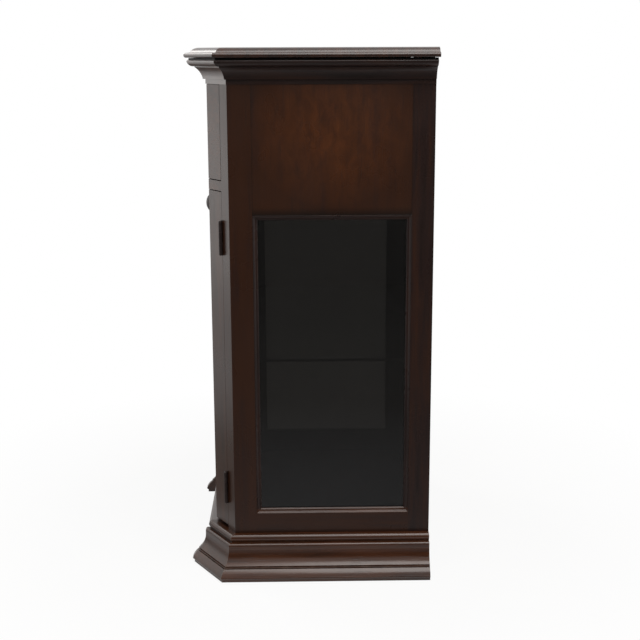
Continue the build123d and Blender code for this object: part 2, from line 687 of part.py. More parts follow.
mirror_y = (Y_CANT + MIRROR_FRONT_GAP, Y_BACK - MIRROR_BACK_GAP)
mirror_face = Plane(origin=(-MIRROR_X, mirror_y[1], LID_BOTTOM), x_dir=(1, 0, 0), z_dir=(0, 0, -1))
with BuildSketch() as frame_profile:
    with BuildLine():
        Polyline((0, 0), (MIRROR_FRAME_W, 0), (MIRROR_FRAME_W, MIRROR_T + 1), (15, MIRROR_FRAME_T),
                 (2, MIRROR_FRAME_T), (0, MIRROR_FRAME_T - 2), (0, 0))
    make_face()
mirror_size = (2 * MIRROR_X, mirror_y[1] - mirror_y[0])
save(bead_frame(mirror_face, *mirror_size, frame_profile.sketch), "mirror_frame")
save(pane(mirror_face, *mirror_size, MIRROR_FRAME_W + GLASS_PLAY, -MIRROR_T, 0), "mirror")


def lid_hinge(plate, knuckles, tab):
    """Two leaves of the lid hinges: a plate, the tabs that reach the barrel and those knuckles."""
    (plate_y, plate_z), (tab_y, tab_z) = plate, tab
    low = LID_HINGE_X - LID_HINGE_W / 2
    width = (LID_HINGE_W - 2 * KNUCKLE_GAP) / 3
    with BuildPart() as leaf:
        add(board((low, low + LID_HINGE_W), plate_y, plate_z).part)
        for index in knuckles:
            start = low + index * (width + KNUCKLE_GAP)
            add(board((start, start + width), tab_y, tab_z).part)
            add(cylinder((start, Y_LID_AXIS, Z_LID_AXIS), (1, 0, 0), LID_BARREL_R, width).part)
        bore = cylinder((low, Y_LID_AXIS, Z_LID_AXIS), (1, 0, 0), LID_PIN_R + PIN_PLAY, LID_HINGE_W)
        add(bore.part, mode=Mode.SUBTRACT)
    return group(leaf, twin(leaf))


leaf_z = (LID_BOTTOM - LID_LEAF_T, LID_BOTTOM)
leaf_edge = Y_LID_AXIS - LID_NOTCH
save(lid_hinge(((leaf_edge - LID_LEAF_L, leaf_edge), leaf_z), (1,),
               ((leaf_edge, Y_LID_AXIS - LID_TAB), leaf_z)), "lid_hinge_leaves")
leaf_y = (Y_BACK, Y_BACK + LID_LEAF_T)
leaf_top = Z_LID_AXIS - LID_NOTCH
save(lid_hinge((leaf_y, (leaf_top - LID_LEAF_L, leaf_top)), (0, 2), (leaf_y, (leaf_top, Z_LID_AXIS))),
     "lid_hinge_case_leaves")

lid_pin = cylinder((LID_HINGE_X - LID_HINGE_W / 2, Y_LID_AXIS, Z_LID_AXIS), (1, 0, 0), LID_PIN_R,
                   LID_HINGE_W)
save(group(pins, twin(pins), lid_pin, twin(lid_pin)), "hinge_pins")
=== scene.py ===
"""Looks of the jewelry armoire: finishes of the cabinet work, padded ring rolls, velvet linings, studio."""
from math import atan2, cos, pi, radians, sin

import bmesh
import bpy
from mathutils import Matrix, Vector


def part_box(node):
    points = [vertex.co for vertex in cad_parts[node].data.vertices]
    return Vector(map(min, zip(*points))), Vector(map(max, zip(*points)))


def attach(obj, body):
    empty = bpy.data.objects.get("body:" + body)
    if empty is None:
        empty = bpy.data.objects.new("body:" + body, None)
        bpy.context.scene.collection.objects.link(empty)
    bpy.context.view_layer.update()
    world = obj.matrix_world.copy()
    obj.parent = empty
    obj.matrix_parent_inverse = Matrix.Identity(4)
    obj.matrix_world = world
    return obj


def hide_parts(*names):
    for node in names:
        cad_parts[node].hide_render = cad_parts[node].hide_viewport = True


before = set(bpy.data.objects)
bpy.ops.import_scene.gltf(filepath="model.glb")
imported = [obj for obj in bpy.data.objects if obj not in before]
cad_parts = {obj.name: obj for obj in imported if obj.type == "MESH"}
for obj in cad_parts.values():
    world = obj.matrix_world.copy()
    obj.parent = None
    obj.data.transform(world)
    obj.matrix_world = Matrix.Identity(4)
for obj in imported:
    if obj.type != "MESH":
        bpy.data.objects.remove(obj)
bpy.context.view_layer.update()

# Cabinet, in metres
CANT_RUN = (0.067, 0.041)
CANT_TURN = (0, 0, -atan2(CANT_RUN[1], CANT_RUN[0]))
GAP_UNDER_LID = 0.9969
BEAD_W = 0.0094
DIVIDER_T = 0.006

# Reach of wear and of painted shade from an edge, in metres
RUBBED_REACH = 0.0022
SEAM_SHADE_REACH = 0.004
FOOT_SHADE_RISE = 0.015
BRONZE_REACH = 0.0012

# Velvet linings, in metres; the corner is the cut for the canted corner of the well
VELVET_T = 0.0012
VELVET_BODY = 0.8 * VELVET_T
VELVET_PLAY = 0.001
VELVET_CELL = 0.006
VELVET_EASE = 0.0005
VELVET_CORNER = (0.064, 0.041)
VELVET_PILE = 0.0004
ROLL_CLEAR = 0.002

# Unevenness of the velvet: its height in metres, and its waves in radians per metre
VELVET_WAVE = 0.00012
WAVES_ACROSS = 61
WAVES_ALONG = 47
WAVE_START = 1.3

# Ring rolls: share of the pitch that a roll fills, reach and size of its gathered ends as shares of its
# thickness, and its ripples
ROLL_COUNT = 7
ROLL_SHARE = 0.97
ROLL_SIDES = 20
ROLL_STATIONS = 48
GATHER_REACH = 0.42
GATHER_SIZE = 0.30
RIPPLES = ((0.006, 41.0), (0.004, 97.0))

# Colours, linear
MAHOGANY_DEEP = (0.014, 0.0055, 0.0030)
MAHOGANY_DULL = (0.020, 0.0100, 0.0085)
MAHOGANY_DARK = (0.027, 0.0105, 0.0064)
MAHOGANY_EVEN = (0.034, 0.0122, 0.0058)
MAHOGANY = (0.040, 0.0140, 0.0062)
MAHOGANY_WARM = (0.054, 0.0170, 0.0062)
MAHOGANY_RED = (0.085, 0.0270, 0.0100)
# Redder veneer figure, laid on as painted light in the middle of the side panels
LIT_VENEER_RED = (0.112, 0.0330, 0.0090)
WORN_EDGE = (0.170, 0.1050, 0.0720)
# Darkest tone of some grain, also laid on as painted shade along seams and at a panel's foot
DARK_GRAIN_AND_SHADE = (0.006, 0.0040, 0.0030)
# Painted shade: near-black, and a dull roughness, for the crown's lip in the gap under the lid
GAP_SHADE_BLACK = (0.002, 0.0018, 0.0016)
GAP_SHADE_ROUGH = (0.9, 0.9, 0.9)
INNER_DARK = (0.150, 0.0720, 0.0320)
INNER_PALE = (0.270, 0.1500, 0.0740)
BRONZE_DARK = (0.022, 0.0150, 0.0140)
BRONZE_RUBBED = (0.050, 0.0340, 0.0260)
WINE_DEEP = (0.035, 0.0045, 0.0080)
WINE = (0.105, 0.0120, 0.0200)
WINE_SHEEN = (0.60, 0.22, 0.26)
SMOKE = (0.086, 0.083, 0.079)
SHELF_CLEAR = (0.86, 0.88, 0.87)
SILVER_DIM = (0.70, 0.71, 0.70)
SILVER = (0.78, 0.79, 0.79)

# Polish: specular level, and the roughness of clean and smeared places
SATIN = {"gloss": 0.3, "rough": (0.25, 0.34)}
LID_POLISH = {"gloss": 0.45, "rough": (0.18, 0.26)}
BASE_POLISH = {"gloss": 0.45, "rough": (0.17, 0.25)}
BEAD_GLOSS = 0.28
FULL_GLOSS = 1.0

# Grain: how far figure and pores are drawn out, and where the dark, middle and pale tones lie
GRAIN_STRETCH = 0.09
PORE_STRETCH = 0.03
TONE_PLACES = (0.28, 0.50, 0.72)

# Painted light on the side panels: a redder pool of veneer figure in the middle, falling off to edges left
# darker as painted shade; its height as a share of the panel's, and how it falls off
LIT_MIDDLE_HEIGHT = 0.55
LIT_MIDDLE_FALLOFF = (4.0, 6.5, 7.0)
LIT_MIDDLE_POWER = 0.7

# Shares of pores, wear and painted shade in the wood's colour, and what pores add to its roughness
PORE_SHARE = 0.55
INNER_PORE_SHARE = 0.4
RUBBED_SHARE = 0.5
SEAM_SHADE_SHARE = 0.75
FOOT_SHADE_SHARE = 0.85
PORE_ROUGH = 0.12

# Colours of the studio, linear
WHITE = (1.0, 1.0, 1.0)
SKY_COLOUR = (1.0, 0.98, 0.96)
SKY_STRENGTH = 0.28
LAMP_COLOUR = (1.0, 0.985, 0.96)
FLOOR_DIM = (0.80, 0.80, 0.79)
FLOOR_PALE = (0.83, 0.83, 0.82)
NEAR_SHADE = (0.36, 0.365, 0.385)
FAR_SHADE = (0.14, 0.134, 0.130)
FRONT_SHADE = (0.35, 0.336, 0.326)

# Studio, in metres: floor, corners of the reflection cards, and softboxes
FLOOR_REACH = 9.0
CARD_LIFT = 0.002
SIDE_CARD = ((0.42, -0.9), (3.2, -2.6), (3.2, 2.6), (0.42, 1.4))
FRONT_CARD = ((-0.9, -1.0), (0.4, -1.0), (0.4, -0.4), (-0.4, -0.4))
STANDING_CARD_X = 3.2
STANDING_CARD_REACH = 2.6
STANDING_CARD_TOP = 1.5
FRONT_BOX = {"at": (-0.75, -2.0, 0.95), "target": (0.0, -0.2, 0.85), "size": (1.7, 1.5), "radiance": 1.0}
CORNER_BOX = {"at": (-1.5, -1.6, 2.3), "target": (0.0, 0.0, 0.9), "size": (1.0, 1.0), "radiance": 6.0}
TOP_BOX = {"at": (0.95, 0.35, 2.5), "target": (0.2, 0.0, 0.5), "size": (1.5, 2.1), "radiance": 4.8}

# Camera: place in metres, turns in degrees, lens and sensor in millimetres
CAMERA_AT = (2.4507, -0.02225, 1.0077)
CAMERA_PITCH = 12.7
CAMERA_YAW = 1.1
CAMERA_ROLL = -0.2
CAMERA_LENS = 66.58
SENSOR_WIDTH = 36.0


# Node helpers

def connect(tree, socket, value):
    """Links a socket to another one, or gives it a value of its own."""
    if isinstance(value, bpy.types.NodeSocket):
        tree.links.new(value, socket)
    else:
        socket.default_value = value


def feed(tree, node, sockets):
    for key, value in sockets.items():
        connect(tree, node.inputs[key], value)


def add(tree, kind, sockets=None, **settings):
    made = tree.nodes.new("ShaderNode" + kind)
    for key, value in settings.items():
        setattr(made, key, value)
    feed(tree, made, sockets or {})
    return made


def rgba(colour):
    return (*colour, 1.0)


def bare_finish(name):
    finish = bpy.data.materials.new(name)
    finish.use_nodes = True
    finish.node_tree.nodes.clear()
    return finish, finish.node_tree


def new_finish(name):
    finish, tree = bare_finish(name)
    surface = add(tree, "BsdfPrincipled")
    add(tree, "OutputMaterial", {"Surface": surface.outputs["BSDF"]})
    return finish, tree, surface


def own_point(tree):
    return add(tree, "TexCoord").outputs["Object"]


def height_of(tree):
    return add(tree, "SeparateXYZ", {"Vector": own_point(tree)}).outputs["Z"]


def distance_out(tree):
    return add(tree, "VectorMath", {0: own_point(tree)}, operation="LENGTH").outputs["Value"]


def mirrored_point(tree):
    """Object coordinates with both sides of the cabinet folded onto the right one."""
    parts = add(tree, "SeparateXYZ", {"Vector": own_point(tree)}).outputs
    folded = {"X": reckon(tree, "ABSOLUTE", parts["X"]), "Y": parts["Y"], "Z": parts["Z"]}
    return add(tree, "CombineXYZ", folded).outputs["Vector"]


def place(tree, scale=(1, 1, 1), shift=(0, 0, 0), turn=(0, 0, 0), source=None):
    source = source or own_point(tree)
    mapping = add(tree, "Mapping", {"Vector": source, "Location": shift, "Rotation": turn, "Scale": scale})
    return mapping.outputs["Vector"]


def noise(tree, where, scale, detail=2.0, rough=0.5, bend=0.0):
    return add(tree, "TexNoise", {"Vector": where, "Scale": scale, "Detail": detail,
                                  "Roughness": rough, "Distortion": bend}).outputs["Fac"]


def spread(tree, value, low, high, to_low=0.0, to_high=1.0):
    return add(tree, "MapRange", {"Value": value, "From Min": low, "From Max": high,
                                  "To Min": to_low, "To Max": to_high}).outputs["Result"]


def reckon(tree, how, first, second=0.0):
    made = add(tree, "Math", operation=how)
    connect(tree, made.inputs[0], first)
    connect(tree, made.inputs[1], second)
    return made.outputs[0]


def blend_of(tree, first, first_share, second, second_share):
    """Two values added by their shares."""
    return reckon(tree, "ADD", reckon(tree, "MULTIPLY", first, first_share),
                  reckon(tree, "MULTIPLY", second, second_share))


def ramp(tree, value, stops):
    made = add(tree, "ValToRGB", {"Fac": value})
    bar = made.color_ramp.elements
    while len(bar) < len(stops):
        bar.new(0.5)
    for element, (where, colour) in zip(bar, stops):
        element.position = where
        element.color = rgba(colour)
    return made.outputs["Color"]


def tint(tree, share, under, over):
    """One colour laid over another, by a share from 0 to 1."""
    made = add(tree, "Mix", data_type="RGBA")
    for index, value in ((0, share), (6, under), (7, over)):
        connect(tree, made.inputs[index], rgba(value) if isinstance(value, tuple) else value)
    return made.outputs[2]


def bump(tree, surface, height, depth, strength):
    made = add(tree, "Bump", {"Height": height, "Distance": depth, "Strength": strength})
    feed(tree, surface, {"Normal": made.outputs["Normal"]})


def near_edge(tree, reach):
    """Rises to 1 within that reach of a piece's edges."""
    rounded = add(tree, "Bevel", {"Radius": reach}, samples=6).outputs["Normal"]
    flat = add(tree, "NewGeometry").outputs["Normal"]
    agree = add(tree, "VectorMath", {0: rounded, 1: flat}, operation="DOT_PRODUCT")
    return spread(tree, agree.outputs["Value"], low=0.995, high=0.86)


def arris_wear(tree, reach):
    """The same, broken up so that the rubbing looks uneven."""
    patchy = spread(tree, noise(tree, place(tree), scale=34.0, detail=3.0), low=0.42, high=0.66)
    return reckon(tree, "MULTIPLY", near_edge(tree, reach), patchy)


# Finishes

def wood_stops(dark, middle, pale):
    return tuple(zip(TONE_PLACES, (dark, middle, pale)))


PLAIN_STOPS = wood_stops(MAHOGANY_DEEP, MAHOGANY, MAHOGANY_RED)
BASE_STOPS = wood_stops(MAHOGANY_DEEP, MAHOGANY_WARM, MAHOGANY_RED)
LID_STOPS = wood_stops(DARK_GRAIN_AND_SHADE, MAHOGANY_DARK, MAHOGANY_WARM)
EVEN_STOPS = wood_stops(MAHOGANY_DULL, MAHOGANY_EVEN, MAHOGANY)
DARKER_STOPS = wood_stops(DARK_GRAIN_AND_SHADE, MAHOGANY_DULL, MAHOGANY)
INNER_STOPS = ((0.25, INNER_DARK), (0.8, INNER_PALE))


def stretched(along, share):
    return tuple(share if axis == along else 1 for axis in "xyz")


def grain(tree, along, shift, turn=(0, 0, 0), source=None):
    """Broad figure, finer streaks and open pores along one direction."""
    long_grain = place(tree, stretched(along, GRAIN_STRETCH), shift, turn, source)
    long_pores = place(tree, stretched(along, PORE_STRETCH), shift, turn, source)
    broad = noise(tree, long_grain, scale=11.0, detail=3.0, rough=0.5, bend=0.5)
    streaks = noise(tree, long_grain, scale=75.0, detail=5.0, rough=0.62, bend=0.25)
    pores = spread(tree, noise(tree, long_pores, scale=620.0, detail=2.0, rough=0.6), low=0.62, high=0.74)
    return broad, streaks, pores


def wood_tone(tree, broad, streaks, stops):
    figure = spread(tree, broad, low=0.2, high=0.8, to_low=0.15, to_high=0.35)
    lines = spread(tree, streaks, low=0.2, high=0.8, to_low=0.08, to_high=0.42)
    return ramp(tree, reckon(tree, "ADD", figure, lines), stops)


def finish_mahogany(tree, surface, colour, streaks, pores, edge="plain", gloss=SATIN["gloss"],
                    rough=SATIN["rough"]):
    """Pores, edges rubbed pale by wear or darkened as painted shade where a panel meets its frame, and a
    polish with some pull in it.
    """
    colour = tint(tree, reckon(tree, "MULTIPLY", pores, PORE_SHARE), colour, MAHOGANY_DEEP)
    if edge == "rubbed":
        rubbed = reckon(tree, "MULTIPLY", arris_wear(tree, RUBBED_REACH), RUBBED_SHARE)
        colour = tint(tree, rubbed, colour, WORN_EDGE)
    # Painted shade: darkens the edges where the panel meets the posts and rails
    if edge == "seam_shaded":
        seam_shaded = reckon(tree, "MULTIPLY", near_edge(tree, SEAM_SHADE_REACH), SEAM_SHADE_SHARE)
        colour = tint(tree, seam_shaded, colour, DARK_GRAIN_AND_SHADE)
    smears = noise(tree, place(tree), scale=9.0, detail=3.0)
    pulled = reckon(tree, "ADD", spread(tree, smears, 0.3, 0.7, *rough),
                    reckon(tree, "MULTIPLY", pores, PORE_ROUGH))
    feed(tree, surface, {"Base Color": colour, "Roughness": pulled, "Specular IOR Level": gloss})
    lie = blend_of(tree, streaks, 0.5, pores, -0.6)
    bump(tree, surface, lie, depth=0.00022, strength=0.5)


def mahogany(name, along, shift, turn=(0, 0, 0), folded=False, stops=PLAIN_STOPS, **settings):
    finish, tree, surface = new_finish(name)
    source = mirrored_point(tree) if folded else None
    broad, streaks, pores = grain(tree, along, shift, turn, source)
    finish_mahogany(tree, surface, wood_tone(tree, broad, streaks, stops), streaks, pores, **settings)
    return finish


def crown_mahogany(*args, **settings):
    """Moulding wood, painted black and left dull where its lip meets the lid: painted shade in the gap under
    the lid.
    """
    finish = mahogany(*args, **settings)
    tree = finish.node_tree
    surface = tree.nodes["Principled BSDF"]
    # Above this height the lip is painted black as shade in the gap under the lid
    lip = reckon(tree, "GREATER_THAN", height_of(tree), GAP_UNDER_LID)
    for socket, black in (("Base Color", GAP_SHADE_BLACK), ("Roughness", GAP_SHADE_ROUGH)):
        plain = surface.inputs[socket].links[0].from_socket
        feed(tree, surface, {socket: tint(tree, lip, plain, black)})
    return finish


def bead_mahogany(name, across, low, high):
    """Grain runs up the standing beads and along those at the sill and head; the sill's is paler as painted
    light from above, the others darker as painted shade.
    """
    finish, tree, surface = new_finish(name)
    height = height_of(tree)
    from_middle = reckon(tree, "ABSOLUTE", reckon(tree, "SUBTRACT", height, (low + high) / 2))
    lying = reckon(tree, "GREATER_THAN", from_middle, (high - low) / 2 - BEAD_W)
    sill = reckon(tree, "LESS_THAN", height, low + BEAD_W)
    up_broad, up_streaks, up_pores = grain(tree, "z", shift=(0.3, 0.1, 0.2))
    broad, streaks, pores = grain(tree, across, shift=(0.1, 0.7, 0.4))
    # Painted shade: the standing and head beads take the darker tones
    colour = tint(tree, lying, wood_tone(tree, up_broad, up_streaks, DARKER_STOPS),
                  wood_tone(tree, broad, streaks, DARKER_STOPS))
    # Painted light: the sill bead takes the paler tones
    colour = tint(tree, sill, colour, wood_tone(tree, broad, streaks, PLAIN_STOPS))
    finish_mahogany(tree, surface, colour, up_streaks, reckon(tree, "MAXIMUM", up_pores, pores),
                    gloss=BEAD_GLOSS)
    return finish


def panel_veneer(name, low, high):
    """Sliced veneer whose mottled figure is redder towards the middle of the panel as painted light, leaving
    its edges darker as painted shade, with painted shade along its foot.
    """
    finish, tree, surface = new_finish(name)
    broad, streaks, pores = grain(tree, "z", shift=(0.2, 0.55, 0.1))
    colour = wood_tone(tree, broad, streaks, EVEN_STOPS)
    centre = (high[0], (low[1] + high[1]) / 2, low[2] + (high[2] - low[2]) * LIT_MIDDLE_HEIGHT)
    off_centre = tuple(-at * by for at, by in zip(centre, LIT_MIDDLE_FALLOFF))
    round_centre = place(tree, LIT_MIDDLE_FALLOFF, off_centre, source=mirrored_point(tree))
    middle = add(tree, "TexGradient", {"Vector": round_centre}, gradient_type="SPHERICAL").outputs["Fac"]
    patches = noise(tree, place(tree, (1, 1, 0.5)), scale=60.0, detail=5.0, rough=0.65, bend=0.4)
    mottle = spread(tree, patches, low=0.3, high=0.7, to_low=0.15, to_high=0.75)
    # Painted light: the mottled figure shows only in a pool at the panel's middle
    lit_figure = reckon(tree, "MULTIPLY", reckon(tree, "POWER", middle, LIT_MIDDLE_POWER), mottle)
    # Painted shade: darker along the panel's foot
    foot_shade = spread(tree, height_of(tree), low[2], low[2] + FOOT_SHADE_RISE, FOOT_SHADE_SHARE, 0.0)
    colour = tint(tree, foot_shade, tint(tree, lit_figure, colour, LIT_VENEER_RED), DARK_GRAIN_AND_SHADE)
    finish_mahogany(tree, surface, colour, streaks, pores, "seam_shaded")
    return finish


def inner_wood(name, along):
    """Plain secondary wood, stained and barely sealed."""
    finish, tree, surface = new_finish(name)
    broad, streaks, pores = grain(tree, along, shift=(0.4, 0.2, 0.6))
    in_pores = reckon(tree, "MULTIPLY", pores, INNER_PORE_SHARE)
    colour = tint(tree, in_pores, wood_tone(tree, broad, streaks, INNER_STOPS), INNER_DARK)
    rough = spread(tree, streaks, low=0.3, high=0.7, to_low=0.52, to_high=0.66)
    feed(tree, surface, {"Base Color": colour, "Roughness": rough, "Specular IOR Level": 0.35})
    bump(tree, surface, streaks, depth=0.0003, strength=0.5)
    return finish


def pane_glass(name, tone):
    finish, tree, surface = new_finish(name)
    haze = noise(tree, place(tree), scale=5.0, detail=3.0)
    hazy_tone = tuple(part * 0.92 for part in tone)
    wiped = noise(tree, place(tree, (1, 1, 0.3)), scale=40.0, detail=4.0)
    feed(tree, surface, {"Base Color": ramp(tree, haze, ((0.3, tone), (0.7, hazy_tone))),
                         "Roughness": spread(tree, wiped, low=0.45, high=0.75, to_low=0.012, to_high=0.05),
                         "Transmission Weight": 1.0, "IOR": 1.52})
    bump(tree, surface, haze, depth=0.0006, strength=0.15)
    return finish


def looking_glass():
    finish, tree, surface = new_finish("looking_glass")
    clouds = noise(tree, place(tree), scale=7.0, detail=4.0)
    feed(tree, surface, {"Base Color": ramp(tree, clouds, ((0.3, SILVER_DIM), (0.7, SILVER))),
                         "Roughness": spread(tree, clouds, low=0.4, high=0.75, to_low=0.02, to_high=0.07),
                         "Metallic": 1.0})
    return finish


def dark_bronze():
    """Blackened bronze, rubbed through to a warm brown on its edges."""
    finish, tree, surface = new_finish("dark_bronze")
    cast = noise(tree, place(tree), scale=160.0, detail=4.0, rough=0.6)
    paler = tuple(part * 1.7 for part in BRONZE_DARK)
    colour = ramp(tree, cast, ((0.35, BRONZE_DARK), (0.75, paler)))
    colour = tint(tree, arris_wear(tree, BRONZE_REACH), colour, BRONZE_RUBBED)
    rough = spread(tree, cast, low=0.3, high=0.7, to_low=0.34, to_high=0.52)
    feed(tree, surface, {"Base Color": colour, "Roughness": rough, "Metallic": 0.3,
                         "Specular IOR Level": 0.2})
    bump(tree, surface, cast, depth=0.0002, strength=0.35)
    return finish


def wine_velvet():
    """Short pile: fine fibres, brushed patches and a soft edge sheen."""
    finish, tree, surface = new_finish("wine_velvet")
    fibres = noise(tree, place(tree), scale=1800.0, detail=3.0, rough=0.7)
    brushed = noise(tree, place(tree, (1, 0.45, 1)), scale=38.0, detail=3.0, rough=0.6, bend=0.7)
    mixed = blend_of(tree, fibres, 0.5, brushed, 0.5)
    feed(tree, surface, {"Base Color": ramp(tree, mixed, ((0.34, WINE_DEEP), (0.66, WINE))),
                         "Roughness": spread(tree, brushed, low=0.3, high=0.7, to_low=0.82, to_high=0.95),
                         "Specular IOR Level": 0.15, "Sheen Weight": 0.45, "Sheen Roughness": 0.4,
                         "Sheen Tint": rgba(WINE_SHEEN)})
    bump(tree, surface, fibres, depth=VELVET_PILE, strength=0.6)
    return finish


# Cabinet work: which finish each piece takes

def dress(finish, *names):
    for name in names:
        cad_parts[name].material_slots[0].material = finish


def both(name):
    return (name + "_right", name + "_left")


def dress_case():
    dress(mahogany("post_mahogany", "z", shift=(0.0, 0.4, 0.0), stops=EVEN_STOPS), *both("corner_post"))
    dress(mahogany("rear_mahogany", "z", shift=(0.2, 0.6, 0.1), stops=DARKER_STOPS), "rear_stiles")
    dress(mahogany("stile_mahogany", "z", shift=(0.7, 0.1, 0.3)), *both("door_stile"),
          *both("door_meeting_stile"))
    dress(mahogany("front_mahogany", "x", shift=(0.1, 0.2, 0.5)), "drawer_front", "frieze", "dust_board",
          *both("door_rails"))
    dress(mahogany("lid_mahogany", "x", shift=(0.5, 0.8, 0.2), stops=LID_STOPS, **LID_POLISH),
          "lid", "mirror_frame", "back_top_rail", "base_back_rail")
    dress(mahogany("side_mahogany", "y", shift=(0.3, 0.0, 0.6), stops=EVEN_STOPS),
          "side_bottom_rails", "well_dividers")
    dress(panel_veneer("panel_veneer", *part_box("side_panel_right")), *both("side_panel"))


def dress_mouldings():
    dress(crown_mahogany("crown_side_mahogany", "y", shift=(0.1, 0.4, 0.3), stops=DARKER_STOPS),
          "crown_sides")
    dress(crown_mahogany("crown_front_mahogany", "x", shift=(0.1, 0.2, 0.5)), "crown_front")
    dress(crown_mahogany("crown_corner_mahogany", "x", shift=(0.2, 0.3, 0.1), turn=CANT_TURN, folded=True,
                         gloss=FULL_GLOSS), "crown_corners")
    dress(mahogany("base_mahogany", "y", shift=(0.6, 0.0, 0.2), stops=BASE_STOPS, edge="rubbed",
                   **BASE_POLISH), "base_sides")
    dress(mahogany("foot_mahogany", "x", shift=(0.5, 0.3, 0.1), turn=CANT_TURN, folded=True, edge="rubbed"),
          "base_corner_feet")
    dress(mahogany("apron_mahogany", "x", shift=(0.4, 0.1, 0.7), gloss=FULL_GLOSS), "base_apron")
    for beads, across in (("side_beads", "y"), ("door_beads", "x")):
        low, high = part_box(beads + "_right")
        dress(bead_mahogany(beads.replace("beads", "bead_mahogany"), across, low[2], high[2]), *both(beads))


def dress_fittings():
    dress(inner_wood("inner_wood_up", "z"), "back_panel")
    dress(inner_wood("inner_wood_deep", "y"), "drawer_sides", "drawer_runners")
    dress(inner_wood("inner_wood_wide", "x"), "bottom_board", "door_stop", "drawer_back", "drawer_bottom",
          "well_floor")
    dress(pane_glass("smoked_pane", SMOKE), *both("side_glass"), *both("door_glass"))
    dress(pane_glass("clear_shelf", SHELF_CLEAR), "glass_shelf")
    dress(looking_glass(), "mirror")
    dress(dark_bronze(), "case_hinge_leaves", "hinge_pins", "hinge_screws", "lid_hinge_case_leaves",
          "lid_hinge_leaves", "shelf_pins", "drawer_knob", *both("door_knob"), *both("door_hinge_leaves"),
          *both("door_hinge_screws"))


# Soft pieces in the lid well and the drawer

def keep(mesh, name, body, velvet):
    piece = bpy.data.objects.new(name, mesh)
    bpy.context.scene.collection.objects.link(piece)
    if velvet.name not in mesh.materials:
        mesh.materials.append(velvet)
    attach(piece, body)
    return piece


def one_roll(length, thick):
    """A stuffed roll lying along X on z = 0, faintly rippled and gathered at both ends."""
    shape = bmesh.new()
    rings = []
    for station in range(ROLL_STATIONS + 1):
        share = station / ROLL_STATIONS
        from_end = min(share, 1 - share) * length
        pull = min(1.0, from_end / (thick * GATHER_REACH))
        swell = GATHER_SIZE + (1 - GATHER_SIZE) * (1 - (1 - pull) ** 2) ** 0.5
        ripple = 1 + sum(size * sin(share * turns) for size, turns in RIPPLES)
        radius = thick / 2 * swell * ripple
        ring = []
        for step in range(ROLL_SIDES):
            angle = 2 * pi * step / ROLL_SIDES
            z = max(sin(angle) * radius + thick / 2, 0.0)
            ring.append(shape.verts.new(((share - 0.5) * length, cos(angle) * radius, z)))
        rings.append(ring)
    for first, second in zip(rings, rings[1:]):
        for step in range(ROLL_SIDES):
            after = (step + 1) % ROLL_SIDES
            shape.faces.new((first[step], first[after], second[after], second[step]))
    shape.faces.new(rings[0])
    shape.faces.new(rings[-1])
    bmesh.ops.recalc_face_normals(shape, faces=shape.faces)
    mesh = bpy.data.meshes.new("one_roll")
    shape.to_mesh(mesh)
    shape.free()
    mesh.shade_smooth()
    return mesh


def roll_row_tree():
    """Geometry nodes that lay the stuffed roll down in a row."""
    tree = bpy.data.node_groups.new("roll_row", "GeometryNodeTree")
    for name, kind in (("Roll", "Object"), ("Count", "Int"), ("Start", "Vector"), ("Pitch", "Vector"),
                       ("Velvet", "Material")):
        tree.interface.new_socket(name, in_out="INPUT", socket_type="NodeSocket" + kind)
    tree.interface.new_socket("Geometry", in_out="OUTPUT", socket_type="NodeSocketGeometry")
    given = tree.nodes.new("NodeGroupInput").outputs
    result = tree.nodes.new("NodeGroupOutput").inputs
    line = tree.nodes.new("GeometryNodeMeshLine")
    stuffed = tree.nodes.new("GeometryNodeObjectInfo")
    laid = tree.nodes.new("GeometryNodeInstanceOnPoints")
    real = tree.nodes.new("GeometryNodeRealizeInstances")
    cover = tree.nodes.new("GeometryNodeSetMaterial")
    for source, target in ((given["Roll"], stuffed.inputs["Object"]),
                           (given["Count"], line.inputs["Count"]),
                           (given["Start"], line.inputs["Start Location"]),
                           (given["Pitch"], line.inputs["Offset"]),
                           (line.outputs["Mesh"], laid.inputs["Points"]),
                           (stuffed.outputs["Geometry"], laid.inputs["Instance"]),
                           (laid.outputs["Instances"], real.inputs["Geometry"]),
                           (real.outputs["Geometry"], cover.inputs["Geometry"]),
                           (given["Velvet"], cover.inputs["Material"]),
                           (cover.outputs["Geometry"], result["Geometry"])):
        tree.links.new(source, target)
    return tree


def roll_row(roll, velvet, pitch, start):
    """The row of rolls as one plain mesh."""
    tree = roll_row_tree()
    pattern = bpy.data.objects.new("roll_pattern", roll)
    carrier = bpy.data.objects.new("roll_carrier", bpy.data.meshes.new("roll_carrier"))
    for item in (pattern, carrier):
        bpy.context.scene.collection.objects.link(item)
    modifier = carrier.modifiers.new("row", "NODES")
    modifier.node_group = tree
    values = {"Roll": pattern, "Count": ROLL_COUNT, "Start": start, "Pitch": pitch, "Velvet": velvet}
    for item in tree.interface.items_tree:
        if item.in_out == "INPUT":
            modifier[item.identifier] = values[item.name]
    seen = bpy.context.evaluated_depsgraph_get()
    mesh = bpy.data.meshes.new_from_object(carrier.evaluated_get(seen), depsgraph=seen)
    for item in (carrier, pattern):
        bpy.data.objects.remove(item)
    return mesh


def lay_ring_rolls(velvet):
    low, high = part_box("ring_rolls")
    pitch = (high[1] - low[1]) / (ROLL_COUNT - 1 + ROLL_SHARE)
    thick = high[2] - low[2]
    start = ((low[0] + high[0]) / 2, high[1] - thick / 2, low[2])
    mesh = roll_row(one_roll(high[0] - low[0], thick), velvet, (0, -pitch, 0), start)
    rolls = keep(mesh, "stuffed_ring_rolls", "case", velvet)
    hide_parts("ring_rolls")


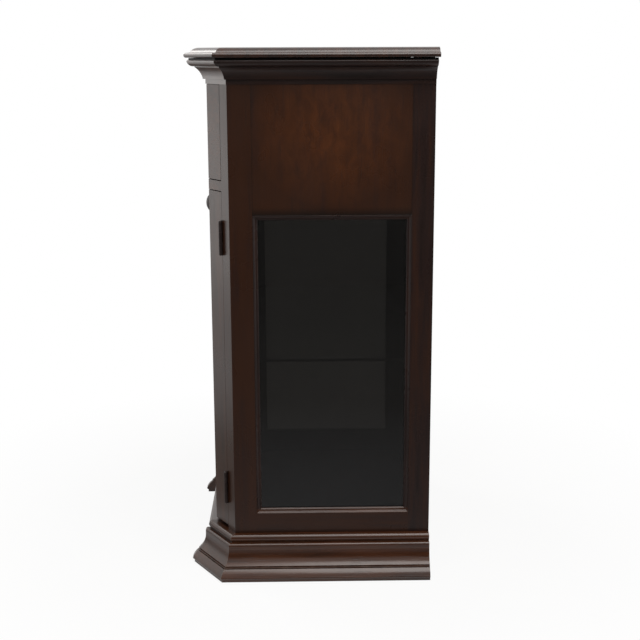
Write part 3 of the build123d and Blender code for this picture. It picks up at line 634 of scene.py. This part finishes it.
def velvet_top(x_span, y_span, z, corner):
    """Upper face of a cut of velvet: eased edges, a faint unevenness and, on one side, the canted corner."""
    width, length = x_span[1] - x_span[0], y_span[1] - y_span[0]
    across, along = round(width / VELVET_CELL), round(length / VELVET_CELL)
    shape = bmesh.new()
    grid = []
    for row in range(along + 1):
        y = y_span[0] + length * row / along
        left, right = x_span
        if corner and y < corner["end"]:
            inset = (corner["end"] - y) / (corner["end"] - y_span[0]) * VELVET_CORNER[0]
            left, right = (left + inset, right) if corner["side"] == "left" else (left, right - inset)
        line = []
        for column in range(across + 1):
            x = left + (right - left) * column / across
            at_edge = row in (0, along) or column in (0, across)
            wave = VELVET_WAVE * sin(WAVES_ACROSS * x + WAVE_START) * sin(WAVES_ALONG * y)
            line.append(shape.verts.new((x, y, z + VELVET_T - (VELVET_EASE if at_edge else 0.0) + wave)))
        grid.append(line)
    for first, second in zip(grid, grid[1:]):
        for column in range(across):
            shape.faces.new((first[column], first[column + 1], second[column + 1], second[column]))
    return shape


def lay_velvet(name, body, rests_on, x_span, y_span, velvet, corner=None):
    """A cut of velvet lying flat on a floor."""
    shape = velvet_top(x_span, y_span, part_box(rests_on)[1][2], corner)
    mesh = bpy.data.meshes.new(name)
    shape.to_mesh(mesh)
    area = sum(face.calc_area() for face in shape.faces)
    shape.free()
    mesh.shade_smooth()
    lining = keep(mesh, name, body, velvet)
    cloth = lining.modifiers.new("cloth", "SOLIDIFY")
    cloth.thickness = VELVET_BODY
    cloth.offset = -1.0


def line_well(velvet):
    """One cut in front of the ring rolls on the left, and three between the dividers on the right."""
    low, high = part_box("well_floor")
    beside_divider = DIVIDER_T / 2 + VELVET_PLAY
    front, back = low[1] + VELVET_PLAY, high[1] - VELVET_PLAY
    third = (high[1] - low[1]) / 3
    before_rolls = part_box("ring_rolls")[0][1] - DIVIDER_T - ROLL_CLEAR
    left_span = (VELVET_PLAY - high[0], -beside_divider)
    right_span = (beside_divider, high[0] - VELVET_PLAY)
    corner_end = low[1] + VELVET_CORNER[1]
    lay_velvet("well_velvet_left", "case", "well_floor", left_span, (front, before_rolls), velvet,
               {"end": corner_end, "side": "left"})
    lay_velvet("well_velvet_right_front", "case", "well_floor", right_span,
               (front, low[1] + third - beside_divider), velvet, {"end": corner_end, "side": "right"})
    lay_velvet("well_velvet_right_middle", "case", "well_floor", right_span,
               (low[1] + third + beside_divider, low[1] + 2 * third - beside_divider), velvet)
    lay_velvet("well_velvet_right_back", "case", "well_floor", right_span,
               (low[1] + 2 * third + beside_divider, back), velvet)


def line_drawer(velvet):
    low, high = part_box("drawer_bottom")
    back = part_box("drawer_back")[0]
    lay_velvet("drawer_velvet", "drawer", "drawer_bottom", (low[0] + VELVET_PLAY, high[0] - VELVET_PLAY),
               (low[1] + VELVET_PLAY, back[1] - VELVET_PLAY), velvet)


# Studio

def seen_white(tree):
    """1 for rays from the camera, a reflection or a pane, 0 for those that light the object."""
    path = add(tree, "LightPath").outputs
    through = reckon(tree, "MAXIMUM", path["Is Glossy Ray"], path["Is Transmission Ray"])
    return reckon(tree, "MAXIMUM", path["Is Camera Ray"], through)


def studio_world():
    world = bpy.data.worlds.new("studio")
    bpy.context.scene.world = world
    world.use_nodes = True
    tree = world.node_tree
    tree.nodes.clear()
    light = add(tree, "Background", {"Color": rgba(SKY_COLOUR), "Strength": SKY_STRENGTH})
    white = add(tree, "Background", {"Color": rgba(WHITE), "Strength": 1.0})
    mixed = add(tree, "MixShader", {0: seen_white(tree), 1: light.outputs[0], 2: white.outputs[0]})
    add(tree, "OutputWorld", {"Surface": mixed.outputs[0]})


def flat_piece(name, corners, finish):
    mesh = bpy.data.meshes.new(name)
    mesh.from_pydata(corners, [], [tuple(range(len(corners)))])
    mesh.materials.append(finish)
    piece = bpy.data.objects.new(name, mesh)
    bpy.context.scene.collection.objects.link(piece)
    return piece


def pale_floor():
    """A pale matt floor that is seen as white away from the cabinet and keeps its shadow."""
    finish, tree = bare_finish("pale_floor")
    grit = noise(tree, place(tree), scale=14.0, detail=3.0)
    lit = add(tree, "BsdfDiffuse", {"Color": ramp(tree, grit, ((0.3, FLOOR_DIM), (0.7, FLOOR_PALE)))})
    white = add(tree, "Emission", {"Color": rgba(WHITE), "Strength": 1.0})
    fade = spread(tree, distance_out(tree), low=0.5, high=1.1, to_low=0.9, to_high=1.0)
    share = reckon(tree, "MULTIPLY", seen_white(tree), fade)
    mixed = add(tree, "MixShader", {0: share, 1: lit.outputs[0], 2: white.outputs[0]})
    add(tree, "OutputMaterial", {"Surface": mixed.outputs[0]})
    ways = ((-1, -1), (1, -1), (1, 1), (-1, 1))
    flat_piece("floor", [(x * FLOOR_REACH, y * FLOOR_REACH, 0) for x, y in ways], finish)


def reflection_card(name, corners, near_shade, far_shade):
    """A matt card that shows only in the cabinet's polish, shaded from near the cabinet outwards."""
    finish, tree, surface = new_finish(name)
    share = spread(tree, distance_out(tree), low=0.5, high=1.4)
    feed(tree, surface, {"Base Color": tint(tree, share, near_shade, far_shade), "Roughness": 1.0})
    card = flat_piece(name, corners, finish)
    for ray in ("camera", "diffuse", "transmission", "shadow"):
        setattr(card, "visible_" + ray, False)


def lay_cards():
    """Cards on the floor beside and before the cabinet, and one standing off its right side."""
    for side, name in ((1, "right"), (-1, "left")):
        lying = [(side * x, y, CARD_LIFT) for x, y in SIDE_CARD]
        reflection_card("lying_card_" + name, lying, NEAR_SHADE, FAR_SHADE)
    x, reach = STANDING_CARD_X, STANDING_CARD_REACH
    standing = [(x, -reach, CARD_LIFT), (x, reach, CARD_LIFT), (x, reach, STANDING_CARD_TOP),
                (x, -reach, STANDING_CARD_TOP)]
    reflection_card("standing_card", standing, FAR_SHADE, FAR_SHADE)
    before = [(x, y, CARD_LIFT) for x, y in FRONT_CARD]
    reflection_card("lying_card_front", before, FRONT_SHADE, FRONT_SHADE)


def softbox(name, at, target, size, radiance):
    lamp = bpy.data.lights.new(name, "AREA")
    lamp.shape = "RECTANGLE"
    lamp.size, lamp.size_y = size
    lamp.energy = radiance * pi * size[0] * size[1]
    lamp.color = LAMP_COLOUR
    piece = bpy.data.objects.new(name, lamp)
    bpy.context.scene.collection.objects.link(piece)
    aim = Vector(target) - Vector(at)
    piece.matrix_world = Matrix.Translation(at) @ aim.to_track_quat("-Z", "Y").to_matrix().to_4x4()


def set_camera():
    pitch, yaw, roll = radians(CAMERA_PITCH), radians(CAMERA_YAW), radians(CAMERA_ROLL)
    view = bpy.data.cameras.new("camera")
    view.sensor_width = SENSOR_WIDTH
    view.lens = CAMERA_LENS
    forward = Vector((-cos(pitch) * cos(yaw), cos(pitch) * sin(yaw), -sin(pitch)))
    right = forward.cross(Vector((0, 0, 1))).normalized()
    up = right.cross(forward)
    right, up = cos(roll) * right + sin(roll) * up, cos(roll) * up - sin(roll) * right
    turn = Matrix((right, up, -forward)).transposed().to_4x4()
    camera = bpy.data.objects.new("camera", view)
    bpy.context.scene.collection.objects.link(camera)
    camera.matrix_world = Matrix.Translation(CAMERA_AT) @ turn
    bpy.context.scene.camera = camera


set_camera()
dress_case()
dress_mouldings()
dress_fittings()
velvet = wine_velvet()
lay_ring_rolls(velvet)
line_well(velvet)
line_drawer(velvet)
pale_floor()
lay_cards()
studio_world()
softbox("front_softbox", **FRONT_BOX)
softbox("corner_softbox", **CORNER_BOX)
softbox("top_softbox", **TOP_BOX)
bpy.context.scene.view_settings.view_transform = "Standard"
